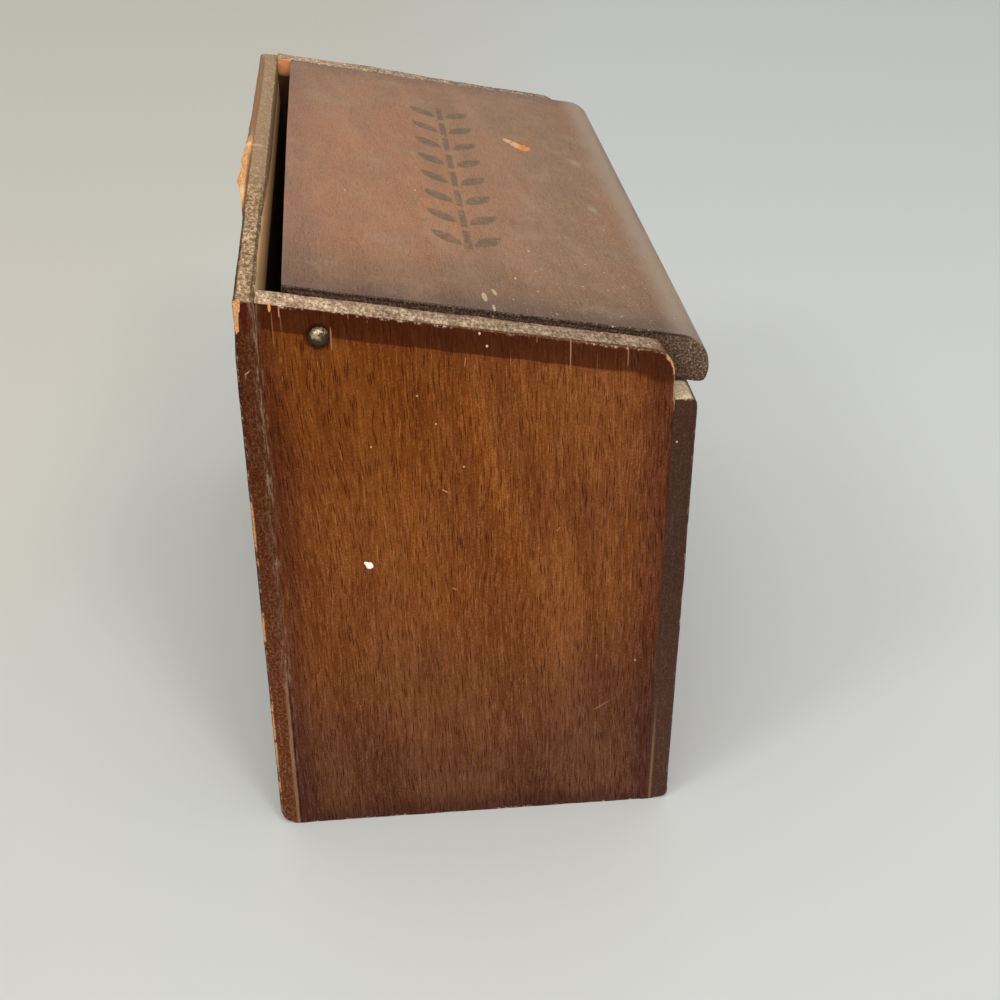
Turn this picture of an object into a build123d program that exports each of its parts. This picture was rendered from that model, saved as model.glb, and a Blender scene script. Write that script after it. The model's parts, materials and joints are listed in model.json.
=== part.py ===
from build123d import *
import os
from math import acos, atan2, cos, degrees, hypot, radians, sin, sqrt, tan

# A slant-topped wooden box for recipe cards, with a lid that swings on two nails.
# The front faces -Y, +X is to the right of someone who looks at the front, and +Z is up.
# The origin is on the table, under the middle of the closed box, nose of the lid included.

# ---- Driving dimensions, in millimetres and degrees ----

# The box
box_length = 147.5          # left to right, along the front and back panels
box_depth = 76.0            # front to back, over the front and back panels
back_height = 110.8         # table to the outer top edge of the back panel
top_slope = 10.0            # fall of the side panels' tops and of the lid, back to front
side_thickness = 5.5
front_thickness = 4.0
back_thickness = 3.8
bottom_thickness = 3.2
side_corner_radius = 3.5    # top front corner of a side panel
side_arris_radius = 0.4     # along the side panels' tops and on down their front corners
arris_radius = 0.8          # outer edges of the front and back panels

# The lid
lid_thickness = 8.4
lid_proud = 0.85            # top of the lid above the side panels' tops
lid_side_gap = 0.5          # each end of the lid to the side panel beside it
lid_rest_gap = 0.1          # underside of the lid to the front panel, closed
nose_overhang = 3.0         # nose of the lid past the front panel's face
nose_top_radius = 6.0
nose_bottom_radius = 1.4
lid_arris_radius = 0.4      # the lid's other edges

# The hinge
hinge_setback = 9.8         # hinge axis to the inside of the back panel
hinge_depth = 5.1           # hinge axis below the lid's top
swing_clearance = 1.1       # back edge of the lid to the back panel as the lid turns
pin_clearance = 0.08        # shank to the hole's wall in the side panel
pin_diameter = 1.6
pin_length = 19.0           # under the head, point included
pin_point_length = 2.4
pin_head_diameter = 3.6
pin_head_height = 1.5
pin_head_gap = 0.15         # underside of the head to the side panel

# ---- Places worked out from them ----

slope = radians(top_slope)
overall_depth = box_depth + nose_overhang
nose_front = -overall_depth / 2
back_outer = overall_depth / 2
front_outer = back_outer - box_depth
back_inner = back_outer - back_thickness
front_inner = front_outer + front_thickness
side_outer = box_length / 2
side_inner = side_outer - side_thickness


def top_at(y):
    """Height of the sloping plane that the side and back panels' tops lie in."""
    return back_height - (back_outer - y) * tan(slope)


# The lid's section is drawn from the hinge axis, along the slope and square to it.
hinge_y = back_inner - hinge_setback
hinge_z = top_at(hinge_y) - (hinge_depth - lid_proud) / cos(slope)
lid_length = 2 * (side_inner - lid_side_gap)
lid_section = Plane(
    origin=(-lid_length / 2, hinge_y, hinge_z),
    x_dir=(0, cos(slope), sin(slope)),
    z_dir=(1, 0, 0),
)
lid_underside = hinge_depth - lid_thickness

# The heel behind the hinge is as long as its swing past the back panel allows.
heel_swing = hinge_setback - swing_clearance
lid_heel = sqrt(heel_swing**2 - hinge_depth**2)

# The nose's round is the foremost part of the lid, and sets how far the lid reaches.
nose_centre_height = hinge_depth - nose_top_radius
nose_centre_y = nose_front + nose_top_radius
nose_centre_reach = (hinge_y - nose_centre_y - nose_centre_height * sin(slope)) / cos(slope)
lid_reach = nose_centre_reach + nose_top_radius

# The lid comes down on the front panel's outer top edge.
underside_over_front = (
    hinge_z + lid_underside / cos(slope) - (hinge_y - front_outer) * tan(slope)
)
front_height = underside_over_front - lid_rest_gap

# ---- The walls ----

with BuildPart() as left_side_panel:
    with BuildSketch(Plane.YZ.offset(-side_outer)) as side_profile:
        with BuildLine():
            Polyline(
                (front_inner, 0),
                (back_inner, 0),
                (back_inner, top_at(back_inner)),
                (front_inner, top_at(front_inner)),
                close=True,
            )
        make_face()
        fillet(side_profile.vertices().group_by(Axis.X)[0].sort_by(Axis.Y)[-1], side_corner_radius)
    extrude(amount=side_thickness)
    across_top = left_side_panel.faces().sort_by(Axis.Z)[-1].edges().sort_by(Axis.X)
    fillet([across_top[0], across_top[-1]], side_arris_radius)
    with BuildSketch(Plane.YZ.offset(-side_outer)):
        with Locations((hinge_y, hinge_z)):
            Circle(pin_diameter / 2 + pin_clearance)
    extrude(amount=side_thickness, mode=Mode.SUBTRACT)

with BuildPart() as right_side_panel:
    mirror(left_side_panel.part, about=Plane.YZ)

with BuildPart() as front_panel:
    with BuildSketch(Plane.XZ.offset(-front_outer)):
        Rectangle(box_length, front_height, align=(Align.CENTER, Align.MIN))
    extrude(amount=-front_thickness)
    fillet(front_panel.faces().sort_by(Axis.Y)[0].edges(), arris_radius)

with BuildPart() as back_panel:
    with BuildSketch(Plane.YZ.offset(-side_outer)):
        with BuildLine():
            Polyline(
                (back_inner, 0),
                (back_outer, 0),
                (back_outer, back_height),
                (back_inner, top_at(back_inner)),
                close=True,
            )
        make_face()
    extrude(amount=box_length)
    fillet(back_panel.faces().sort_by(Axis.Y)[-1].edges(), arris_radius)

with BuildPart() as bottom_panel:
    with BuildSketch():
        with Locations((0, (front_inner + back_inner) / 2)):
            Rectangle(2 * side_inner, back_inner - front_inner)
    extrude(amount=bottom_thickness)

# ---- The hinge pins: round-headed nails, driven through the sides into the lid's ends ----

hinge_axis = Axis((0, hinge_y, hinge_z), (1, 0, 0))
under_head = Plane(
    origin=(-side_outer - pin_head_gap, hinge_y, hinge_z),
    x_dir=(1, 0, 0),
    z_dir=(0, -1, 0),
)

with BuildPart() as left_hinge_pin:
    with BuildSketch(under_head):
        with BuildLine():
            dome = TangentArc((-pin_head_height, 0), (0, pin_head_diameter / 2), tangent=(0, 1))
            Polyline(
                dome @ 1,
                (0, pin_diameter / 2),
                (pin_length - pin_point_length, pin_diameter / 2),
                (pin_length, 0),
                dome @ 0,
            )
        make_face()
    revolve(axis=hinge_axis)

with BuildPart() as right_hinge_pin:
    mirror(left_hinge_pin.part, about=Plane.YZ)

# ---- The lid: one board with a round nose, and a hole in each end where its nail sits tight ----

with BuildPart() as lid:
    with BuildSketch(lid_section) as lid_profile:
        with BuildLine():
            Polyline(
                (-lid_reach, lid_underside),
                (lid_heel, lid_underside),
                (lid_heel, hinge_depth),
                (-lid_reach, hinge_depth),
                close=True,
            )
        make_face()
        fillet(lid_profile.vertices().group_by(Axis.X)[0].sort_by(Axis.Y)[-1], nose_top_radius)
        fillet(lid_profile.vertices().group_by(Axis.X)[0].sort_by(Axis.Y)[0], nose_bottom_radius)
        fillet(lid_profile.vertices().group_by(Axis.X)[-1], lid_arris_radius)
    extrude(amount=lid_length)
    fillet(lid.faces().filter_by(Axis.X).edges(), lid_arris_radius)
    add(left_hinge_pin.part, mode=Mode.SUBTRACT)
    add(right_hinge_pin.part, mode=Mode.SUBTRACT)

# ---- How far the lid opens: its top comes to lean on the back panel's inner top edge ----

stop_height = top_at(back_inner) - hinge_z
stop_distance = hypot(hinge_setback, stop_height)
upright = 90 + top_slope
past_upright = degrees(acos(hinge_depth / stop_distance) - atan2(stop_height, hinge_setback))
print("hinge axis at y", round(hinge_y, 3), "z", round(hinge_z, 3))
print("lid opens to", round(upright + past_upright, 2), "degrees")
print("front panel height", round(front_height, 3), "lid length", round(lid_length, 3))
print("lid reach", round(lid_reach, 3), "lid heel", round(lid_heel, 3))

# ---- Each piece in its own file ----

os.makedirs("parts", exist_ok=True)
left_side_panel.part.label = "left_side_panel"
right_side_panel.part.label = "right_side_panel"
front_panel.part.label = "front_panel"
back_panel.part.label = "back_panel"
bottom_panel.part.label = "bottom_panel"
lid.part.label = "lid"
left_hinge_pin.part.label = "left_hinge_pin"
right_hinge_pin.part.label = "right_hinge_pin"
export_step(left_side_panel.part, "parts/left_side_panel.step")
export_step(right_side_panel.part, "parts/right_side_panel.step")
export_step(front_panel.part, "parts/front_panel.step")
export_step(back_panel.part, "parts/back_panel.step")
export_step(bottom_panel.part, "parts/bottom_panel.step")
export_step(lid.part, "parts/lid.step")
export_step(left_hinge_pin.part, "parts/left_hinge_pin.step")
export_step(right_hinge_pin.part, "parts/right_hinge_pin.step")
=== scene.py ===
import json
from math import acos, atan2, ceil, cos, exp, pi, radians, sin, tan

import bpy
import numpy as np
from mathutils import Euler, Matrix, Vector, noise


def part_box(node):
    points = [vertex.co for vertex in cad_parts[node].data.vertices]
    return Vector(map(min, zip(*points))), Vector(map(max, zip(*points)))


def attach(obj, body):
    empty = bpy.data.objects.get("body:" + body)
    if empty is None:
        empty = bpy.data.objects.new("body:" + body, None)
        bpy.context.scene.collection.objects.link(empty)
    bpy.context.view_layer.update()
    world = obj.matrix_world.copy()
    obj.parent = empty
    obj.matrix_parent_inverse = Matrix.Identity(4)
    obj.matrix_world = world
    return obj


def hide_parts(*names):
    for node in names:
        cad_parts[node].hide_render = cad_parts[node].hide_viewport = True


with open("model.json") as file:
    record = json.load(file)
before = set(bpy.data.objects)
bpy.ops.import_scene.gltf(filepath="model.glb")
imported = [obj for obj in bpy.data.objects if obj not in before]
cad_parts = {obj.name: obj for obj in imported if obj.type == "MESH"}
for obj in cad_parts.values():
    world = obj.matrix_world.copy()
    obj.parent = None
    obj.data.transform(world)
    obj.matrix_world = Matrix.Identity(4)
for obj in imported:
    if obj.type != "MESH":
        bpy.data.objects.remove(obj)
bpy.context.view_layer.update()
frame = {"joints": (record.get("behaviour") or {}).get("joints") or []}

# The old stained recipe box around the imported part. Shapes are worked out in millimetres, in the
# row frame: the front faces -Y, +X is to the right of someone who looks at the front.
MM = 0.001
SLOPE = radians(10)


def span(node):
    """Lowest and highest corner of a CAD node, in millimetres."""
    low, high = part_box(node)
    return np.array(low) / MM, np.array(high) / MM


FRONT_BULGE = 0.35  # how far the front panel's outer face is set out past the part's, for its bow; the face stays flat
BACK_IN, BACK_OUT = span("back_panel")[0][1], span("back_panel")[1][1]
FRONT_OUT, FRONT_IN = span("front_panel")[0][1] - FRONT_BULGE, span("front_panel")[1][1]
FRONT_TOP = span("front_panel")[1][2]
SIDE_OUT, SIDE_IN = -span("left_side_panel")[0][0], -span("left_side_panel")[1][0]
LID_END = span("lid")[1][0]
BOTTOM_TOP = span("bottom_panel")[1][2]
HINGE = np.array(frame["joints"][0]["pos_m"]) / MM

# Sizes of the part's source that the nodes' boxes don't give
BACK_TOP = 110.8
LID_DEPTH, LID_UNDER = 5.1, -3.3
LID_REACH, LID_HEEL = 66.475, 7.048
HOLE_RADIUS = 0.88

SIDE_BEND = 4.6  # radius of a side panel's top front corner, worn rounder than new


def top_at(y):
    """Height of the sloping plane of the side and back panels' tops."""
    return BACK_TOP - (BACK_OUT - y) * tan(SLOPE)


# ---- Meshes ----


def unit(vector):
    """The vector at length 1."""
    return vector / np.linalg.norm(vector)


def graded(length, fine, coarse, zone):
    """Positions from 0 to length, closer together near both ends."""
    at, places = 0, [0]
    while at < length / 2:
        at += fine + (coarse - fine) * min(at / zone, 1)
        places.append(at)
    places = np.array(places) * (length / 2) / at
    return np.concatenate([places, length - places[-2::-1]])


def outline(corners, fine, coarse, zone):
    """Points, outward normals and end radii round a convex section, anticlockwise seen from +X.
    A corner is (y, z, radius, left end's radius, right end's radius)."""
    arc_step, straight = 0.35, 0.01
    arcs = []
    for i, (y, z, radius, left, right) in enumerate(corners):
        here = np.array([y, z])
        back = unit(np.array(corners[i - 1][:2]) - here)
        ahead = unit(np.array(corners[(i + 1) % len(corners)][:2]) - here)
        half = acos(max(-1, min(1, back @ ahead))) / 2
        if pi / 2 - half < straight:
            normal = np.array([ahead[1], -ahead[0]])
            arcs.append([(here, normal, (left, right))])
            continue
        centre = here + unit(back + ahead) * radius / sin(half)
        first = here + back * radius / tan(half) - centre
        start = atan2(first[1], first[0])
        steps = max(4, ceil(radius / arc_step))
        points = []
        for k in range(steps + 1):
            angle = start + (pi - 2 * half) * k / steps
            normal = np.array([cos(angle), sin(angle)])
            points.append((centre + radius * normal, normal, (left, right)))
        arcs.append(points)
    ring = []
    for i, points in enumerate(arcs):
        ring += points
        after = arcs[(i + 1) % len(arcs)][0]
        run = after[0] - points[-1][0]
        length = np.linalg.norm(run)
        normal = np.array([run[1], -run[0]]) / length
        for at in graded(length, fine, coarse, zone)[1:-1] / length:
            ends = np.array(points[-1][2]) * (1 - at) + np.array(after[2]) * at
            ring.append((points[-1][0] + run * at, normal, tuple(ends)))
    return tuple(np.array([r[k] for r in ring]) for k in range(3))


def skin(count, around):
    """Faces over rings of vertices in a row, closed by a last vertex in the middle of each end."""
    faces = []
    for j in range(count - 1):
        for i in range(around):
            k = (i + 1) % around
            a, b = j * around, (j + 1) * around
            faces.append((a + i, a + k, b + k, b + i))
    last = (count - 1) * around
    for i in range(around):
        k = (i + 1) % around
        faces.append((count * around, k, i))
        faces.append((count * around + 1, last + i, last + k))
    return faces


def loft(corners, x0, x1, fine=0.4, coarse=1.5, zone=8, caps=(0.96, 0.85, 0.65, 0.4, 0.2)):
    """A closed board: the section runs from x0 to x1, with rounded arrises at both ends.
    Returns vertices, faces, and each vertex's distance to the board's nearest edge."""
    points, normals, ends = outline(corners, fine, coarse, zone)
    middle = points.mean(0)
    around = len(points)
    turns, clear = 5, 0.12

    def row(x, inset):
        flat = points - normals * np.reshape(inset, (-1, 1))
        return np.column_stack([np.broadcast_to(x, around), flat])

    def end(x, sign, radius):
        """Rows from the middle of the end face out to its rim, and round the arris."""
        rim = row(x, radius)
        rows = []
        for share in sorted(caps):
            inner = rim.copy()
            inner[:, 1:] = middle + (inner[:, 1:] - middle) * share
            rows.append(inner)
        for k in range(turns):
            angle = pi / 2 * (1 - k / turns)
            rows.append(row(x + sign * radius * (1 - sin(angle)), radius * (1 - cos(angle))))
        return rows

    left, right = end(x0, 1, ends[:, 0]), end(x1, -1, ends[:, 1])
    inside = graded(x1 - x0, fine, coarse, zone)
    widest_left, widest_right = ends[:, 0].max(), ends[:, 1].max()
    walls = [row(x0 + ends[:, 0], 0 * ends[:, 0])]
    for at in inside[1:-1]:
        if widest_left + clear < at < x1 - x0 - widest_right - clear:
            walls.append(row(x0 + at, 0 * ends[:, 0]))
    walls.append(row(x1 - ends[:, 1], 0 * ends[:, 1]))
    rows = left + walls + right[::-1]
    co = np.concatenate(rows + [np.array([[x0, *middle], [x1, *middle]])])
    planes = [np.abs(co[:, 0] - x0), np.abs(co[:, 0] - x1)]
    used = []
    for i, corner in enumerate(corners):
        here, after = np.array(corner[:2]), np.array(corners[(i + 1) % len(corners)][:2])
        along = unit(after - here)
        normal = np.array([along[1], -along[0]])
        reach = normal @ here
        if any(abs(reach - r) < 0.01 and normal @ n > 0.999 for n, r in used):
            continue
        used.append((normal, reach))
        planes.append(np.abs(co[:, 1:] @ normal - reach))
    edge = np.sort(np.array(planes), axis=0)[1]
    return co, skin(len(rows), around), edge


def fields(co, size, seed):
    """Smooth noise from -1 to 1 at each vertex, with features of about size millimetres."""
    shift = Vector((seed * 7.3, seed * 3.1, seed * 5.7))
    return np.array([noise.noise(Vector(p / size) + shift) for p in co])


def mesh_normals(co, faces):
    """The vertices' normals."""
    mesh = bpy.data.meshes.new("probe")
    mesh.from_pydata(co.tolist(), [], faces)
    mesh.update()
    normals = np.zeros(len(co) * 3)
    mesh.vertices.foreach_get("normal", normals)
    bpy.data.meshes.remove(mesh)
    return normals.reshape(-1, 3)


def wear(co, faces, edge, depth, seed):
    """Rubs the edges down unevenly. A sheltered edge has a large distance."""
    reach = 0.9
    normals = mesh_normals(co, faces)
    near = np.exp(-((edge / reach) ** 2))
    rub = near * (0.55 + 0.6 * fields(co, 6, seed) + 0.45 * fields(co, 1.3, seed + 1))
    return co - normals * np.clip(rub, 0, None)[:, None] * depth


def chip(co, raw, centre, radii, turn=(0, 0, 0), ragged=0.18, grain=1):
    """Scoops an ellipsoid out of the surface and marks the bare wood that it leaves."""
    fade = 8
    spin = np.array(Euler([radians(a) for a in turn]).to_matrix())
    radii = np.array(radii, float)
    local = (co - np.array(centre)) @ spin / radii
    length = np.linalg.norm(local, axis=1)
    for i in np.nonzero(length < 1.4)[0]:
        rough = 1 + ragged * noise.noise(Vector(co[i] / grain) + Vector(centre))
        share = length[i] * rough
        if share < 1:
            co[i] = np.array(centre) + spin @ (local[i] / share * radii)
            raw[i] = max(raw[i], min(1, (1 - share) * fade))


def shown(name, data):
    """A new object in the scene."""
    made = bpy.data.objects.new(name, data)
    bpy.context.scene.collection.objects.link(made)
    return made


def piece(name, co, faces, body, slot, material, **marks):
    """A finished object for the CAD node of the same name, with named vertex marks."""
    mesh = bpy.data.meshes.new(name)
    mesh.from_pydata((co * MM).tolist(), [], faces)
    for mark, values in marks.items():
        layer = mesh.attributes.new(mark, "FLOAT", "POINT")
        layer.data.foreach_set("value", np.asarray(values, np.float32))
    mesh.materials.append(material)
    mesh.polygons.foreach_set("use_smooth", [True] * len(mesh.polygons))
    mesh.update()
    mesh.set_sharp_from_angle(angle=radians(50))
    made = shown(name, mesh)
    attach(made, body)
    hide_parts(name)
    return made


# ---- Materials ----


def tone(red, green, blue):
    """A colour given in display values from 0 to 255."""
    parts = [c / 255 for c in (red, green, blue)]
    return tuple(c / 12.92 if c <= 0.04045 else ((c + 0.055) / 1.055) ** 2.4 for c in parts) + (1,)


def base(colour, light, veil):
    """The base colour that shows as a display colour under this light and gloss."""
    darkest = 0.0012
    return tuple(max(darkest, (c - veil) / light) for c in tone(*colour)[:3]) + (1,)


WALL_LIGHT, LID_LIGHT = 0.92, 0.98
NO_VEIL = 0.004


def wall_tone(red, green, blue, veil=0.01):
    """A display colour on the walls, which stand a little away from the light."""
    return base((red, green, blue), WALL_LIGHT, veil)


def lid_tone(red, green, blue, veil=0.01):
    """A display colour on the lid, which faces the light."""
    return base((red, green, blue), LID_LIGHT, veil)


class Shader:
    """A node material, with one call for each kind of node."""

    def __init__(self, name):
        self.material = bpy.data.materials.new(name)
        self.material.use_nodes = True
        self.tree = self.material.node_tree
        self.tree.nodes.clear()
        self.surface = self.tree.nodes.new("ShaderNodeBsdfPrincipled")
        output = self.tree.nodes.new("ShaderNodeOutputMaterial")
        self.tree.links.new(self.surface.outputs[0], output.inputs[0])
        place = self.tree.nodes.new("ShaderNodeTexCoord").outputs["Object"]
        self.place = self.scaled(place, (1 / MM,) * 3)
        self.axes = self.node("SeparateXYZ", self.place).outputs
        self.rough = self.noise((0.7,) * 3, 4, 3, 0.6)
        self.ragged = self.noise((2.3,) * 3, 6, 3, 0.65)

    def node(self, kind, *values, **settings):
        made = self.tree.nodes.new("ShaderNode" + kind)
        for key, value in settings.items():
            setattr(made, key, value)
        for socket, value in zip(made.inputs, values):
            if isinstance(value, bpy.types.NodeSocket):
                self.tree.links.new(value, socket)
            elif value is not None:
                socket.default_value = value
        return made

    def math(self, operation, *values):
        return self.node("Math", *values, operation=operation).outputs[0]

    def fold(self, operation, values):
        total = values[0]
        for value in values[1:]:
            total = self.math(operation, total, value)
        return total

    def times(self, *values):
        return self.fold("MULTIPLY", values)

    def plus(self, *values):
        return self.fold("ADD", values)

    def top(self, *values):
        return self.fold("MAXIMUM", values)

    def less(self, value, taken):
        return self.math("SUBTRACT", value, taken)

    def swing(self, *terms):
        """The sum of noises about zero, each with its own strength."""
        return self.plus(*[self.times(self.plus(noise, -0.5), strength) for noise, strength in terms])

    def frayed(self, value, amount, by=None):
        """The value with an uneven swing, for a mark's torn edge."""
        return self.plus(value, self.swing((by or self.ragged, amount)))

    def mix(self, factor, below, above, how="MIX"):
        unused = [None] * 5  # sockets for other kinds of data
        return self.node("Mix", factor, *unused, below, above, data_type="RGBA", blend_type=how).outputs[2]

    def tint(self, layer, mask, *factors):
        """Multiplies a layer (colour, cut or dusty) by three factors under the mask."""
        setattr(self, layer, self.mix(mask, getattr(self, layer), (*factors, 1), "MULTIPLY"))

    def shift(self, amount, colour, dark, pale):
        """The colour moved towards pale where the amount is above zero, and towards dark below."""
        return self.mix(self.times(amount, -1), self.mix(amount, colour, pale), dark)

    def ramp(self, value, low, high, start=0, end=1):
        made = self.node("MapRange", value, low, high, start, end, interpolation_type="SMOOTHSTEP")
        return made.outputs[0]

    def within(self, value, low, high, soft=0.5):
        """1 from low to high, falling to 0 over a soft margin outside."""
        return self.times(self.ramp(value, low - soft, low), self.ramp(value, high + soft, high))

    def line(self, value, middle, half, soft):
        """1 on a line where the value is near the middle."""
        return self.ramp(self.math("ABSOLUTE", self.less(value, middle)), half + soft, half)

    def scaled(self, vector, factors, shift=(0, 0, 0)):
        return self.node("VectorMath", vector, factors, shift, operation="MULTIPLY_ADD").outputs[0]

    def texture(self, kind, place, factors, seed, **inputs):
        made = self.node(kind, self.scaled(place, factors, (seed, 2 * seed, 3 * seed)))
        for name, value in {"Scale": 1, **inputs}.items():
            made.inputs[name].default_value = value
        return made

    def noise(self, factors, seed=0, detail=2, roughness=0.5, warp=0, place=None):
        made = self.texture("TexNoise", place or self.place, factors, seed, Detail=detail,
                            Roughness=roughness, Distortion=warp)
        return made.outputs[0]

    def cells(self, place, factors, seed):
        made = self.texture("TexVoronoi", place, factors, seed)
        parts = self.node("SeparateColor", made.outputs["Color"]).outputs
        return made.outputs["Distance"], parts[0], parts[1]

    def mark(self, name):
        return self.node("Attribute", attribute_name=name).outputs["Fac"]

    def specks(self, pitch, size, share, seed=0):
        """Round specks of a size in millimetres, in a share of cells pitch millimetres wide."""
        distance, lot, other = self.cells(self.place, (1 / pitch,) * 3, seed)
        near = self.less(distance, self.times(other, 0.3 * size / pitch))
        return self.times(self.ramp(near, 0.6 * size / pitch, 0.3 * size / pitch),
                          self.ramp(lot, share + 0.01, share))

    def dashes(self, grain, across, along, thick, share, seed):
        """Short thin lines along the grain, in a share of cells across by along millimetres."""
        distance, lot, other = self.cells(grain, (1 / across, 0.45 / across, 1 / along), seed)
        return self.times(self.ramp(distance, thick, 0.7 * thick), self.ramp(lot, share + 0.02, share))

    def spot(self, centre, radii, turn=(0, 0, 0), soft=0.25, ragged=0.35):
        """One ragged spot, an ellipsoid with its own centre, radii and turn."""
        away = self.node("VectorMath", self.place, centre, operation="SUBTRACT").outputs[0]
        if any(turn):
            spun = self.node("VectorRotate", away, rotation_type="EULER_XYZ", invert=True)
            spun.inputs["Rotation"].default_value = [radians(a) for a in turn]
            away = spun.outputs[0]
        fitted = self.scaled(away, tuple(1 / r for r in radii))
        length = self.node("VectorMath", fitted, operation="LENGTH").outputs["Value"]
        rough = self.rough if sorted(radii)[1] > 1.6 else self.ragged
        length = self.plus(length, self.swing((rough, 2 * ragged)))
        return self.ramp(length, 1 + soft / 2, 1 - soft / 2)

    def bump(self, height, distance_mm, strength=1):
        made = self.node("Bump", strength, distance_mm * MM)
        self.tree.links.new(height, made.inputs["Height"])
        return made.outputs[0]

    def finish(self, colour, roughness, normal, metallic=0, **fixed):
        for name, value in (("Base Color", colour), ("Roughness", roughness), ("Normal", normal)):
            self.tree.links.new(value, self.surface.inputs[name])
        self.surface.inputs["Metallic"].default_value = metallic
        for name, value in fixed.items():
            self.surface.inputs[name.replace("_", " ")].default_value = value
        return self.material


def grain_frame(shader, along, across, lean):
    """The place with the grain along the third coordinate, waving a little from side to side."""
    deep = 3 - along - across
    parts = [shader.axes[index] for index in (across, deep, along)]
    made = shader.node("CombineXYZ", *parts).outputs[0]
    wave = shader.noise((0.03, 0.03, 0.014), 0, 2, place=made)
    fine = shader.noise((0.12, 0.1, 0.06), 4, 1, place=made)
    sway = shader.plus(shader.swing((wave, 6), (fine, 0.9)), shader.times(parts[2], -lean))
    shifted = shader.node("CombineXYZ", sway, 0, 0).outputs[0]
    return shader.node("VectorMath", made, shifted, operation="ADD").outputs[0]


# Tones of worn and bare wood, for the boards that give none of their own
PLAIN = dict(worn=(150, 125, 103), worn_deep=(92, 70, 52), dust=(228, 202, 172), bare=(200, 158, 112),
             bare_deep=(160, 116, 74), bare_pale=(222, 184, 140), raw=(226, 146, 90), raw_deep=(160, 84, 36))


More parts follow.
